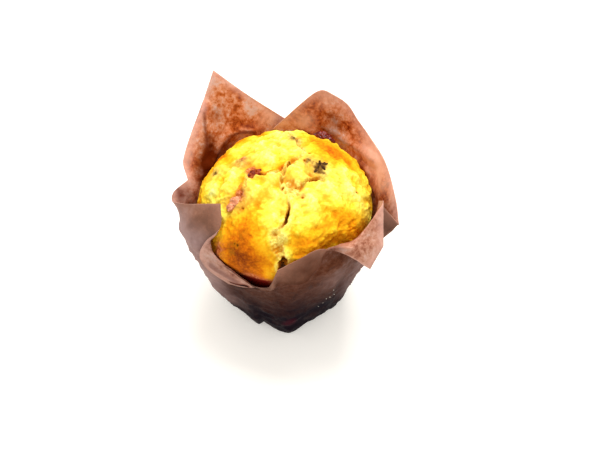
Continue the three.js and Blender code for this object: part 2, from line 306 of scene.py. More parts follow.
@dataclass(frozen=True)
class CrustFinish:
    """Baked crust and the crumb that shows in its splits.

    baked runs from the palest crust to the darkest; the other runs go from dark to pale.
    """

    name: str = "crust"
    baked: tuple[tuple[float, str], ...] = (
        (0.0, "f5ee86"), (0.14, "f3e358"), (0.3, "f0d03a"), (0.45, "eeb61c"),
        (0.62, "ea960a"), (0.8, "c86604"), (1.0, "7c3203"),
    )
    crumb: tuple[tuple[float, str], ...] = ((0.3, "cc9c2c"), (0.5, "ecd25e"), (0.68, "f8ec98"))
    juice: tuple[tuple[float, str], ...] = ((0.3, "7a2008"), (0.5, "b85c30"), (0.7, "e09a68"))
    stain_edge: tuple[tuple[float, str], ...] = ((0.35, "a8701c"), (0.65, "d8b060"))
    stain: tuple[tuple[float, str], ...] = ((0.35, "2a1406"), (0.65, "6e4616"))
    # Painted shade in the pits between lumps, warmed to gold as light bounced about in them would be.
    pit_shade: str = "d08a10"
    # Dark red down the muffin's side: juice in the crumb, and painted shade of the gap between muffin and
    # wrap.
    side: str = "70140a"
    # Painted shade: orange, then dark brown, laid by the depth mark down in the splits.
    shade: str = "c27408"
    split: str = "4a2204"
    roughness: float = 0.8
    shine: float = 0.06

    def material(self) -> Material:
        """Makes the material from the crust's own marks.

        Returns:
            The material.
        """
        n = Nodes(self.name)
        cloud = n.noise(5, 4, 0.6)
        fine = n.noise(0.9, 3, 0.6)
        toast = n.sums("ADD", n.attribute("toast"), n.fit(cloud, 0.3, 0.7, -0.07, 0.07))
        toast = n.sums("ADD", toast, n.fit(fine, 0.3, 0.7, -0.08, 0.08))
        colour = n.shades(toast, *self.baked)
        colour = n.over(n.attribute("crumb"), colour, n.shades(fine, *self.crumb))
        # Painted shade in the pits between the lumps.
        colour = n.over(n.attribute("pit_shade"), colour, self.pit_shade)
        red = n.attribute("red")
        colour = n.over(n.fit(red, 0, 1), colour, n.shades(fine, *self.juice))
        # Dark red on the side: juice, and painted shade of the gap inside the wrap.
        colour = n.over(n.fit(red, 1, 1.5), colour, self.side)
        stain = n.attribute("purple")
        colour = n.over(n.fit(stain, 0, 0.7, 0, 0.85), colour, n.shades(fine, *self.stain_edge))
        colour = n.over(n.fit(stain, 0.55, 1), colour, n.shades(fine, *self.stain))
        # The depth mark is painted shade down in the splits and in the pits of broken crumb, and the crust's
        # real dark specks.
        depth = n.attribute("depth")
        colour = n.over(n.fit(depth, 0, 0.5), colour, self.shade)
        colour = n.over(n.fit(depth, 0.35, 0.9, 0, 0.9), colour, self.split)
        return n.surface(n.solid(colour, self.roughness, self.shine, n.bump(fine, 0.25, 0.6)))


@dataclass(frozen=True)
class PaperFinish:
    """Brown baking paper: greasy and blotched where it lay against the batter, dull where it was dry.

    greasy and dull run from the darkest blotch to the palest fleck. facing is 1 for the inside of the
    sheet and -1 for its outside.
    """

    name: str
    greasy: tuple[str, str, str, str]
    dull: tuple[str, str, str, str]
    # Painted glow of light through the thin edges of the sheet.
    edge: str
    soaked: str
    grease: str
    # Paler paper, and painted sheen on the outside of the wall.
    pale_and_sheen: str
    # Painted shade towards the foot of the wall.
    deep: str
    painted_sheen_and_shade: str
    # Painted sheen on the outside of the sheet, and painted shade on the inside, where the wall bulges and in
    # the cuff's hollow.
    crease: str
    # Painted shadow in the slits under the cuff.
    slit: str = "1c0c08"
    stain: str = "44081a"
    facing: float = 1.0
    lift: float = 0.0
    glow: float = 0.3
    roughness: float = 0.5
    shine: float = 0.08

    def material(self) -> Material:
        """Makes the material from the sheet's own marks.

        Returns:
            The material.
        """
        n = Nodes(self.name)
        blots = n.noise(11, 4, 0.6, 0.3)
        flecks = n.noise(2.0, 5, 0.72)
        fibre = n.noise(0.5, 3, 0.55)
        mottle = n.sums("ADD", n.fit(blots, 0.3, 0.7, 0, 0.6), n.fit(flecks, 0.3, 0.7, 0, 0.4))
        stops = (0.2, 0.42, 0.6, 0.8)
        greasy = n.shades(mottle, *zip(stops, self.greasy))
        dull = n.shades(mottle, *zip(stops, self.dull))
        colour = n.over(n.attribute("warm"), dull, greasy)
        # Paler near the rim: painted glow of the light that comes through the thin edges.
        colour = n.over(n.attribute("rim"), colour, self.edge)
        soak = n.sums("ADD", n.attribute("soak"), n.fit(blots, 0.3, 0.7, -0.18, 0.18))
        colour = n.over(n.fit(soak, 0.05, 0.95), colour, self.soaked)
        colour = n.over(n.fit(n.attribute("crown"), 0, 1, 0, self.lift), colour, self.edge)
        # Darker towards the bottom: painted shade of the lower wall, which the light from above leaves dark;
        # less of it where the wall bulges loose.
        low = n.sums("ADD", n.height(64, 20), n.fit(blots, 0.3, 0.7, -0.2, 0.2))
        # The loose mark paints sheen on the outside of the sheet and shade on the inside, where the wall
        # bulges and in the hollow of the cuff.
        loose = n.sums("MULTIPLY", n.attribute("loose"), n.fit(blots, 0.3, 0.7, 0.65, 1.35))
        low = n.sums("SUBTRACT", low, n.fit(loose, 0, 0.9, 0, 0.8))
        colour = n.over(n.fit(low, 0, 1), colour, self.deep)
        colour = n.over(n.fit(loose, 0.03, 0.8, 0, 0.76), colour, self.painted_sheen_and_shade)
        dark = n.attribute("dark")
        colour = n.over(n.fit(dark, 0, -1), colour, self.pale_and_sheen)
        colour = n.over(n.fit(dark, 0, 1), colour, self.grease)
        # Painted shade along the folds, and painted shadow in the cuff's slits.
        crease = n.attribute("crease")
        colour = n.over(n.fit(crease, 0, self.facing), colour, self.crease)
        colour = n.over(n.fit(crease, self.facing, 1.4 * self.facing), colour, self.slit)
        colour = n.over(n.attribute("stain"), colour, self.stain)
        relief = n.bump(fibre, 0.06, 0.5, n.bump(flecks, 0.35, 0.5))
        roughness = n.fit(blots, 0.3, 0.7, self.roughness - 0.15, self.roughness + 0.1)
        light = n.add("ShaderNodeBsdfTranslucent", Color=colour, Normal=relief)
        both = n.add("ShaderNodeMixShader", Fac=self.glow)
        n.feed(both.inputs[1], n.solid(colour, roughness, self.shine, relief))
        n.feed(both.inputs[2], light.outputs["BSDF"])
        return n.surface(both.outputs["Shader"])


OUTER_PAPER = PaperFinish(
    "paper_outside",
    greasy=("3a1a0a", "5a2e18", "784832", "9c7060"),
    dull=("5a2e1a", "7c4c36", "966852", "b48e80"),
    edge="b0826c",
    soaked="642e18",
    grease="5a2a16",
    pale_and_sheen="9c7a72",
    deep="150814",
    painted_sheen_and_shade="caaaa6",
    crease="1c0c08",
    facing=-1,
    lift=0.45,
    shine=0.025,
)
INNER_PAPER = PaperFinish(
    "paper_inside",
    greasy=("842c04", "cc6a2e", "f0a478", "ffd8c6"),
    dull=("8a5644", "bc8c78", "d6aa98", "e6c4b6"),
    edge="fac8b6",
    soaked="c4601c",
    grease="662204",
    pale_and_sheen="ffc8ac",
    deep="5a2408",
    painted_sheen_and_shade="8c6058",
    crease="6a2406",
    shine=0.02,
)


@dataclass(frozen=True)
class FruitFinish:
    """Soft stuff in three shades: cooked fruit with a wet skin, or a dry crumb."""

    name: str
    dark: str
    mid: str
    pale: str
    roughness: float = 0.4
    shine: float = 0.15

    def material(self) -> Material:
        """Makes the material.

        Returns:
            The material.
        """
        n = Nodes(self.name)
        flesh = n.noise(1.3, 4, 0.6, 0.4)
        colour = n.shades(flesh, (0.3, self.dark), (0.52, self.mid), (0.72, self.pale))
        relief = n.bump(n.fit(n.cells(0.9), 0.1, 0.5), 0.2, 0.6, n.bump(flesh, 0.4, 0.6))
        roughness = n.fit(flesh, 0.3, 0.7, self.roughness - 0.1, self.roughness + 0.2)
        return n.surface(n.solid(colour, roughness, self.shine, relief))


class FruitKind(Enum):
    """The looks of the fruit pieces."""

    RED = FruitFinish("fruit_red", "480c04", "8c2e0e", "c4703c")
    STREAK = FruitFinish("fruit_streak", "ac6446", "cc8660", "e8b68e", 0.6, 0.05)
    PURPLE = FruitFinish("fruit_purple", "241610", "4c321c", "846038", 0.6, 0.03)
    JAM = FruitFinish("fruit_jam", "380604", "6a1408", "963014", 0.25, 0.4)
    SUNK = FruitFinish("fruit_sunk", "241002", "442404", "6e440a", 0.6)


LOOSE_CRUMB = FruitFinish("loose_crumb", "e8dcc0", "f6eedc", "fffdf6", 0.8, 0.0)


def show(name: str, data: ID) -> Object:
    """Puts a mesh, a light or a camera into the scene.

    Args:
        name: the object's name.
        data: what it shows.

    Returns:
        The object, standing at the origin.
    """
    holder = bpy.data.objects.new(name, data)
    bpy.context.scene.collection.objects.link(holder)
    return holder


def soften(shape: bmesh.types.BMesh, verts: list[bmesh.types.BMVert], factor: float) -> None:
    """Smooths some points of a mesh along all three axes."""
    axes = {"use_axis_" + axis: True for axis in "xyz"}
    bmesh.ops.smooth_vert(shape, verts=verts, factor=factor, **axes)


def as_object(name: str, shape: bmesh.types.BMesh, *materials: Material) -> Object:
    """Makes a smooth-shaded object that rides on the body.

    Args:
        name: the piece's name.
        shape: its mesh, in millimetres, which is used up.
        materials: its finishes, in slot order.

    Returns:
        The object, standing at the origin.
    """
    bmesh.ops.scale(shape, vec=(MM, MM, MM), verts=shape.verts)
    mesh = bpy.data.meshes.new(name)
    shape.to_mesh(mesh)
    shape.free()
    for material in materials:
        mesh.materials.append(material)
    mesh.shade_smooth()
    piece = show(name, mesh)
    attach(piece, "root")
    LOG.info("%s: %d points, %d faces", name, len(mesh.vertices), len(mesh.polygons))
    return piece


@dataclass(frozen=True)
class Station:
    """One place round the rim of the wrap: where the sheet hinges off the wall, turns over and ends.

    The hinge is an azimuth and a height; rim and ridge are polar points. pleat is how far the hinge
    stands out, or is tucked in, crease how far the panel after it is bent along its diagonal, and
    warm how greasy the inside is.
    """

    hinge: tuple[float, float]
    rim: Polar
    ridge: Polar | None = None
    pleat: float = 0.0
    crease: float = 0.0
    warm: float = 1.0
    sharp: bool = False


RIM: dict[str, Station] = {
    "notch floor": Station((260, 47), (259.5, 37.3, 52), warm=0.3),
    "notch right": Station((263, 50), (262.5, 38.3, 55), warm=0.6),
    "front corner": Station((267, 57), (267.3, 38.4, 66), warm=0.8, sharp=True),
    "front rise": Station((281, 59), (280.5, 37, 71), warm=0.8),
    "front right": Station((293, 66), (293, 36.4, 73), pleat=-2.6, warm=0.6),
    "flap edge": Station((300, 69), (306, 40.4, 68.5), (299, 36.9, 72), pleat=-4.6, warm=0.35),
    "flap tip": Station(
        (309, 68.5), (315.2, 47.5, 60), (310, 41.2, 71), pleat=-4.4, crease=1.8, warm=0.35, sharp=True
    ),
    "flap corner": Station((320, 66), (326.2, 46.9, 65), (321, 39.6, 73), pleat=-1.6, warm=0.4, sharp=True),
    "facet tip": Station((328, 62), (340, 41.2, 78), (338.5, 41, 76.2), warm=0.5, sharp=True),
    "facet valley": Station((333, 60), (354, 39.2, 66.5), warm=0.6, sharp=True),
    "right point": Station((338, 50), (337, 49.2, 69.5), (337.4, 45.1, 59.8), pleat=3, warm=0.6, sharp=True),
    "right low": Station((350, 58), (349, 45.6, 72.5), pleat=1.4, warm=0.75),
    "right middle": Station((376, 60), (373.5, 43, 75.3)),
    "right high": Station((393, 60), (394, 43.2, 77.2)),
    "back right edge": Station((402, 60), (403.5, 43.4, 80.4)),
    "back right shoulder": Station((412, 60), (412.5, 44.6, 84.2)),
    "back right round": Station((421, 60), (422.3, 45, 86)),
    "back right tip": Station((428, 60), (428.7, 44.6, 87)),
    "back right fall": Station((435, 60), (435, 42.8, 84)),
    "overlap inner": Station((450, 60), (459, 39.5, 66.5), sharp=True),
    "overlap outer": Station((457.5, 58), (448.5, 44.6, 67.4), pleat=2.8, sharp=True),
    "back left rise": Station((470, 60), (470.5, 46.2, 83), pleat=0.8),
    "back left tip": Station((484, 60), (484.6, 52.5, 96), sharp=True),
    "left high": Station((500, 60), (497, 48.2, 85)),
    "left low": Station((518, 60), (520.6, 45.4, 71)),
    "left valley": Station((528, 60), (528.7, 41.6, 66), warm=0.6, sharp=True),
    "loop": Station((540, 60), (539.6, 45.6, 67), warm=0.1),
    "left flap back": Station((551, 60), (550.2, 44.4, 70), warm=0.1),
    "left flap tip": Station((565, 60), (576.4, 28.9, 79.8), warm=0.2, sharp=True),
    "left flap side": Station((573, 60), (586, 33.6, 74.4), (585, 34.9, 72.2), warm=0.2),
    "cuff turn": Station((579, 60), (580.5, 39.1, 67), (583, 37.3, 68.5), warm=0.15),
    "cuff start": Station((585, 60), (578.5, 42.2, 58.5), (585, 39.2, 64), warm=0.1),
    "cuff lower": Station((592, 59), (583, 41.4, 52.5), (589, 39.4, 61), warm=0.1),
    "cuff tip": Station((599, 57), (595, 38.6, 47), (598, 38.8, 58.5), warm=0.15, sharp=True),
    "cuff slit": Station((607, 52), (605.5, 37.9, 49), (606.3, 38.4, 55.5), warm=0.2),
    "cuff end": Station((614.5, 48), (614.5, 38.2, 52), (613, 38.4, 52.7), warm=0.3),
}


@dataclass
class Strip:
    """One strip of the sheet, from the middle of the floor to the rim."""

    azimuth: float
    hinge: float
    pleat: float
    crisp: float
    warm: float
    middle: Vector
    rim: Vector
    along: float
    twist: Vector


@dataclass(frozen=True)
class Fold:
    """A fold across the sheet: the points it runs through, its height and half width, and the shade painted
    along it.

    Painted shade above 0 darkens the inside of the wrap along the fold, and below 0 the outside.
    """

    points: tuple[Vector, ...]
    lift: float
    reach: float
    painted_shade: float

    def away(self, place: Vector) -> float:
        """How far a point is from the fold.

        Args:
            place: the point, in millimetres.

        Returns:
            The distance in millimetres.
        """
        nearest = math.inf
        for start, end in zip(self.points, self.points[1:]):
            run = end - start
            share = min(1.0, max(0.0, (place - start).dot(run) / run.length_squared))
            nearest = min(nearest, (place - start - run * share).length)
        return nearest

    def height(self, place: Vector) -> float:
        """How far the fold lifts the sheet at a point."""
        return self.lift * max(0.0, 1 - self.away(place) / self.reach)


def fold(lift: float, reach: float, *path: Polar, painted_shade: float = 0.0) -> Fold:
    """A fold through polar points, raised by lift over a half width."""
    return Fold(tuple(polar(*point) for point in path), lift, reach, painted_shade)


# Shade is painted along the folds, and a near-black shadow in the slits under the cuff.
FOLDS: dict[str, Fold] = {
    "left point": fold(
        -2.4, 6, (138, 46.6, 83), (144.7, 42.4, 73.6), (150.7, 39.6, 66.7), (155.5, 38, 61), painted_shade=0.9,
    ),
    "left point, along the crust": fold(
        -1.6, 3.6, (112, 40.1, 67.4), (120.7, 40.3, 69.4), (127.7, 40.1, 69.7), (140.5, 39.1, 65.6),
        (151.4, 38.6, 63.9), painted_shade=0.9,
    ),
    "right point, upper": fold(
        -1.5, 3.4, (65.6, 40, 71.6), (49.2, 39.3, 68.8), (35.4, 39.7, 69.2), (20, 40.5, 71.5), painted_shade=0.6,
    ),
    "right point, lower": fold(
        -0.8, 2.5, (71.1, 38.8, 66.6), (54.7, 38.7, 65.9), (40.3, 38.4, 63.8), (22, 38.7, 64.8),
    ),
    "cuff, upper slit": fold(-0.5, 1.2, (237, 38.8, 49.1), (241.5, 38.6, 50), (248.5, 38.3, 51), painted_shade=2),
    "cuff, lower slit": fold(
        -0.5, 1.2, (231, 34.3, 37.2), (241, 34.8, 42), (247.8, 35.8, 46.2), (253.5, 35.9, 48.2), painted_shade=-1.8,
    ),
    "cuff, hollow": fold(-0.5, 3, (226, 40.4, 56.2), (233.9, 39.1, 53.4), (241, 38.3, 51.4)),
    "front wedge": fold(
        1.5, 3, (262, 37, 53), (271.4, 37.9, 58), (281.9, 38.1, 60.3), (292, 37.6, 65), painted_shade=-0.3,
    ),
    "left wall, first": fold(0.9, 2.4, (219, 40.5, 56), (222, 38, 44), (226, 35.5, 32), (230, 33, 20)),
    "left wall, second": fold(0.8, 2.2, (206, 43, 54), (210, 40.5, 42), (214, 37.5, 28)),
    "left wall, third": fold(-0.7, 2.4, (229, 38, 50), (233, 36, 40), (240, 34, 28), painted_shade=-0.4),
    "front fall": fold(0.9, 6, (286.3, 37.5, 66), (280.1, 38.1, 57), (275.7, 33.8, 37.8), (273, 30, 18)),
    "right fall": fold(0.8, 5, (307, 37.4, 61), (304.9, 36.4, 50.7), (306, 33.3, 35), (312, 30, 18)),
    "left fall": fold(0.8, 5, (236, 37, 45), (226, 35.5, 33), (219.4, 33.3, 21), (222, 30.5, 12)),
}


@dataclass(frozen=True)
class Blot:
    """A dark, greasy place on the sheet, or a paler one where the amount is below 0."""

    middle: Polar
    reach: float
    amount: float


# The pale blots at (225.5, 32.1, 20.5) and (306, 35.7, 45.6) are painted sheen on the outside of the wall.
# The dark ones along the crust at the left point, and at (302, 37.4, 72), are grease and painted shade where
# the sheet meets the crust.
BLOTS: tuple[Blot, ...] = (
    Blot((147, 40.5, 67), 8, 1), Blot((158, 39, 63), 7, 0.9), Blot((133, 39.5, 65.5), 5, 0.5),
    Blot((132.5, 45, 80), 5, 0.3), Blot((66, 43.4, 82), 6, -0.45), Blot((142.5, 41.8, 73), 4.5, 0.8),
    Blot((150, 39.5, 64.5), 5, 0.5), Blot((118, 39.8, 66.5), 4, -0.6), Blot((178, 42.5, 65), 7, 0.8),
    Blot((350, 41, 66), 6, 0.35), Blot((225.5, 32.1, 20.5), 9, -0.4), Blot((57, 40.7, 73.6), 6, 0.5),
    Blot((62, 42, 77), 5, 0.3), Blot((286, 38.1, 67.3), 9, 0.55), Blot((280, 38.7, 62.9), 7, 0.3),
    Blot((306, 35.7, 45.6), 10, -0.45), Blot((151, 45, 79), 5, -0.5), Blot((158, 43.5, 73), 5.5, -0.7),
    Blot((165, 42.5, 69), 5, -0.4), Blot((128, 44, 79), 7, 0.15), Blot((302, 37.4, 72), 4.5, 0.8),
    Blot((77, 39.7, 71.4), 6, -0.8), Blot((17.4, 40, 71.1), 9, -0.8), Blot((30, 41.5, 74), 8, -0.6),
    Blot((5, 42, 69), 7, -0.5), Blot((100, 41, 71), 7, -0.5),
)


@dataclass(frozen=True)
class Bulge:
    """A loose place where the wrap stands off the batter, and how much of that is left at the rim."""

    azimuth: float
    spread: float
    depth: float
    low: float
    high: float
    kept: float


@dataclass(frozen=True)
class Crease:
    """A crease pressed into the foot: its size, and how far it runs out to either side."""

    azimuth: float
    size: float
    before: float
    after: float


PAPER_MARKS = ("crown", "warm", "rim", "soak", "loose", "stain", "dark", "crease")


@dataclass
class PaperCase:
    """The folded paper wrap: floor, wall, standing points, folded flaps and the cuff."""

    paper: float = 0.22
    clear: float = 0.03
    foot_radius: float = 26
    foot_bend: float = 6.5
    crease_bend: float = 2
    crease_top: float = 44
    shoulder_radius: float = 38
    shoulder_height: float = 62
    crown_curl: float = 0.4
    pleat_length: float = 30
    tuck_length: float = 10
    crispness: float = 0.8
    strip_width: float = 0.95
    softenings: int = 3
    buckle: float = 0.35
    buckle_size: float = 17
    crinkle: float = 0.8
    crinkle_size: float = 12
    # Strength of the painted sheen and shade where the wall bulges.
    painted_sheen_and_shade: float = 0.13
    line_width: float = 1.1
    stain_at: Polar = (273.5, 30.5, 17)
    stain_edge: Plan = (1.5, 4.2)
    floor_rows: int = 7
    bend_rows: int = 7
    wall_rows: int = 34
    crown_rows: int = 36
    bulges: tuple[Bulge, ...] = (Bulge(200, 32, 6.3, -6, 22, 1), Bulge(339, 32, 2.6, 2, 22, 0.35))
    creases: tuple[Crease, ...] = (
        Crease(243, 1.7, 40, 4), Crease(273, 3.2, 24, 18), Crease(322, 1.1, 5, 24), Crease(18, 1.5, 26, 6),
        Crease(66, 1.2, 6, 30), Crease(118, 1.6, 28, 6), Crease(158, 1.2, 6, 24),
    )
    strips: list[Strip] = field(default_factory=list)

    def crease_size(self, azimuth: float) -> float:
        """How far the foot is creased outwards.

        Args:
            azimuth: where round the foot.

        Returns:
            Millimetres outwards.
        """
        most = 0.0
        for crease in self.creases:
            turn = turn_to(crease.azimuth, azimuth)
            fall = -turn / crease.before if turn < 0 else turn / crease.after
            most = max(most, crease.size * max(0.0, 1 - fall))
        return most

    def stand_off(self, azimuth: float, height: float) -> float:
        """How far the wall stands off its plain cone."""
        pressed = 1 - ease(height, 2, self.crease_top)
        return self.loose(azimuth, height) + self.crease_size(azimuth) * pressed

    def loose(self, azimuth: float, height: float) -> float:
        """How far the wall bulges off the batter.

        Args:
            azimuth: where round the wrap.
            height: how far above the floor.

        Returns:
            Millimetres outwards.
        """
        out = 0.0
        for bulge in self.bulges:
            off = min(1.0, abs(turn_to(bulge.azimuth, azimuth)) / bulge.spread)
            left = lerp(1, bulge.kept, ease(height, 0.6 * self.shoulder_height, self.shoulder_height))
            out += bulge.depth * left * math.cos(off * math.pi / 2) ** 2 * ease(height, bulge.low, bulge.high)
        return out

    def wall(self, azimuth: float, hinge: float, pleat: float, height: float) -> Vector:
        """A point of the wall, which is pleated out, or tucked in, towards its hinge.

        Args:
            azimuth: where round the wrap.
            hinge: height of the hinge there.
            pleat: how far the hinge stands out.
            height: height of the point.

        Returns:
            The point, in millimetres.
        """
        cone = lerp(self.foot_radius, self.shoulder_radius, height / self.shoulder_height)
        length = self.pleat_length if pleat > 0 else self.tuck_length
        out = pleat * ease(height, hinge - length, hinge)
        return polar(azimuth, cone + self.stand_off(azimuth, height) + out, height)

    def values(self, station: Station, turns: float) -> list[float]:
        """Reads a station as numbers that run smoothly along the strips.

        Args:
            station: the station.
            turns: degrees of whole turns to add to its azimuth.

        Returns:
            The first numbers of a strip, in order, with its middle and rim as three numbers each.
        """
        azimuth, hinge = station.hinge[0] + turns, station.hinge[1]
        base = [azimuth, hinge, station.pleat, float(station.ridge is not None), station.warm]
        start, rim = self.wall(azimuth, hinge, station.pleat, hinge), polar(*station.rim)
        if station.ridge:
            return [*base, *polar(*station.ridge), *rim]
        up = (start - self.wall(azimuth, hinge, station.pleat, hinge - 1)).normalized()
        shoulder = start + up * (self.crown_curl * (rim - start).length)
        return [*base, *((start + 2 * shoulder + rim) / 4), *rim]

    def lay_strips(self) -> None:
        """Runs smooth strips from station to station, with a corner at each sharp one."""
        stations = list(RIM.values())
        count = len(stations)

        def knot(index: int) -> tuple[Station, list[float]]:
            """A station and its values, any number of turns round."""
            turns, at = divmod(index, count)
            return stations[at], self.values(stations[at], 360.0 * turns)

        def gap(first: int) -> float:
            """Length of the rim, or of the hinge where that is longer, up to the next station.

            Args:
                first: number of the station.

            Returns:
                The length in millimetres.
            """
            a, b = knot(first)[1], knot(first + 1)[1]
            rim = (Vector(a[8:]) - Vector(b[8:])).length
            return max(rim, math.radians(b[0] - a[0]) * self.shoulder_radius)

        def slope(index: int, span: int) -> list[float]:
            """Direction of the strip lines at a station.

            Args:
                index: number of the station.
                span: number of the station where the span starts that it is for.

            Returns:
                The change of each value over the span.
            """
            a, b = knot(span)[1], knot(span + 1)[1]
            if knot(index)[0].sharp:
                return [y - x for x, y in zip(a, b)]
            before, after = knot(index - 1)[1], knot(index + 1)[1]
            scale = gap(span) / (gap(index - 1) + gap(index))
            return [(y - x) * scale for x, y in zip(before, after)]

        def strip(numbers: list[float], along: float, twist: Vector) -> Strip:
            """A strip from its numbers."""
            return Strip(*numbers[:5], Vector(numbers[5:8]), Vector(numbers[8:]), along, twist)

        self.strips = []
        for index in range(count):
            start, end = knot(index)[1], knot(index + 1)[1]
            leave, reach = slope(index, index), slope(index + 1, index)
            twist = Vector(end[8:]) - Vector(start[8:]) - Vector(end[5:8]) + Vector(start[5:8])
            steps = max(4, round(gap(index) / self.strip_width))
            for step in range(steps):
                t = step / steps
                weights = (2 * t**3 - 3 * t**2 + 1, t**3 - 2 * t**2 + t, 3 * t**2 - 2 * t**3, t**3 - t**2)
                mixed = [sum(w * v for w, v in zip(weights, row)) for row in zip(start, leave, end, reach)]
                self.strips.append(strip(mixed, t, twist * knot(index)[0].crease))
        self.strips.append(strip(knot(count)[1], 0.0, Vector()))

    @property
    def rows(self) -> int:
        """Rows of the sheet from the middle of the floor to the rim."""
        return self.floor_rows + self.bend_rows + self.wall_rows + self.crown_rows

    def point(self, strip: Strip, row: int) -> Vector:
        """A point of the plain sheet.

        Args:
            strip: which strip.
            row: which row, from the middle of the floor.

        Returns:
            Its place in millimetres.
        """
        azimuth, hinge, pleat = strip.azimuth, strip.hinge, strip.pleat
        bend = lerp(self.foot_bend, self.crease_bend, min(1.0, self.crease_size(azimuth) / 2))
        ground = self.clear
        low = ground + bend
        if row <= self.floor_rows:
            share = row / self.floor_rows
            edge = self.foot_radius - bend + self.stand_off(azimuth, ground)
            return polar(azimuth, edge * share, ground)
        row -= self.floor_rows
        if row <= self.bend_rows:
            lean = math.radians(90) * row / self.bend_rows
            height = low - bend * math.cos(lean)
            out = self.wall(azimuth, hinge, pleat, height)
            radius = math.hypot(out.x, out.y) - bend * (1 - math.sin(lean))
            return polar(azimuth, radius, height)
        row -= self.bend_rows
        if row <= self.wall_rows:
            return self.wall(azimuth, hinge, pleat, lerp(low, hinge, row / self.wall_rows))
        share = (row - self.wall_rows) / self.crown_rows
        over = max(0.0, 2 * share - 1)
        start, middle, rim = self.wall(azimuth, hinge, pleat, hinge), strip.middle, strip.rim
        shoulder = 2 * middle - (start + rim) / 2
        curve = start.lerp(shoulder, share).lerp(shoulder.lerp(rim, share), share)
        bent = start.lerp(middle, 2 * share) if share < 0.5 else middle.lerp(rim, over)
        diagonal = min(strip.along, over) - strip.along * over
        return curve.lerp(bent, self.crispness * strip.crisp) + strip.twist * diagonal

    def blots(self, place: Vector) -> float:
        """How dark the grease has made the sheet at a point."""
        return sum(blot.amount * bell((place - polar(*blot.middle)).length, blot.reach) for blot in BLOTS)

    def crumple(self, place: Vector, crown: float) -> float:
        """How far the paper stands off its plain sheet: folds, soft buckles, and crinkles on the wall.

        Args:
            place: the point, in millimetres.
            crown: 1 above the hinge and 0 on the wall.

        Returns:
            Millimetres outwards.
        """
        buckle = grain(place, self.buckle_size, 2, 3.1)
        flat = Vector((place.x, place.y, 1.6 * place.z))
        crinkle = 1 - abs(grain(flat, self.crinkle_size, 3, 8.3))
        soft = self.buckle * buckle * crown
        pressed = (self.buckle * (buckle + 0.6) + self.crinkle * crinkle**3) * (1 - 0.75 * crown)
        return soft + max(0.0, pressed) + sum(each.height(place) for each in FOLDS.values())

    def marks(self, strip: Strip, place: Vector, crown: float) -> dict[str, float]:
        """Reads what the finish needs to know of a point of the plain sheet.

        Args:
            strip: the strip that the point is on.
            place: the point, in millimetres.
            crown: how far it is from the hinge to the rim, from 0 to 1.

        Returns:
            Each mark by its name.
        """
        reach = (strip.rim - place).length
        spot = (place - polar(*self.stain_at)).length + 1.5 * grain(place, 3, 2)
        loose = self.loose(strip.azimuth, place.z) * ease(place.z, 2, 26) * (1 - ease(place.z, 62, 75))
        hollow = bell(FOLDS["cuff, hollow"].away(place), 3)
        # Painted shade along the folds.
        lines = (each.painted_shade * bell(each.away(place), self.line_width) for each in FOLDS.values())
        return {
            "crown": ease(crown, 0, 0.35),
            "warm": strip.warm,
            # Painted glow of light through the thin edges near the rim.
            "rim": 0.6 * bell(reach, 5) if crown > 0 else 0.0,
            "soak": 0.35 * (1 - ease(crown, 0.0, 0.55)),
            # Painted sheen and shade where the wall bulges, and painted shade in the cuff's hollow.
            "loose": self.painted_sheen_and_shade * loose + 0.9 * hollow,
            "stain": 0.85 * (1 - ease(spot, *self.stain_edge)),
            "dark": self.blots(place) * (1 + 0.5 * grain(place, 4, 3, 2.2)),
            "crease": max(lines, key=abs),
        }

    def build(self) -> Object:
        """Lays the sheet over its strips, creases it and gives it its thickness.

        Returns:
            The wrap.
        """
        self.lay_strips()
        across, rows = len(self.strips) - 1, self.rows
        sheet = bmesh.new()
        bmesh.ops.create_grid(sheet, x_segments=across, y_segments=rows, size=1)
        layers = {name: sheet.verts.layers.float.new(name) for name in PAPER_MARKS}
        for vert in sheet.verts:
            column, row = round((vert.co.x + 1) / 2 * across), round((vert.co.y + 1) / 2 * rows)
            strip = self.strips[column]
            vert.co = self.point(strip, row)
            crown = max(0.0, (row - rows + self.crown_rows) / self.crown_rows)
            for name, value in self.marks(strip, vert.co, crown).items():
                vert[layers[name]] = value
        bmesh.ops.remove_doubles(sheet, verts=sheet.verts, dist=1e-4)
        bmesh.ops.recalc_face_normals(sheet, faces=sheet.faces)
        lowest = min(sheet.faces, key=lambda face: face.calc_center_median().z)
        if lowest.normal.z > 0:
            bmesh.ops.reverse_faces(sheet, faces=sheet.faces)
        inner = [vert for vert in sheet.verts if not vert.is_boundary and vert.co.z > self.paper]
        for _ in range(self.softenings):
            soften(sheet, inner, 0.5)
        sheet.normal_update()
        shifts = [self.crumple(vert.co, vert[layers["crown"]]) for vert in inner]
        for vert, shift in zip(inner, shifts):
            vert.co += vert.normal * shift * ease(vert.co.z, 1, 9)
        wrap = as_object("paper_wrap", sheet, OUTER_PAPER.material(), INNER_PAPER.material())
        wall = wrap.modifiers.new("thickness", "SOLIDIFY")
        wall.thickness = self.paper * MM
        wall.offset = -1
        wall.use_quality_normals = True
        wall.material_offset = 1
        wall.material_offset_rim = 1
        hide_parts("paper_case")
        return wrap


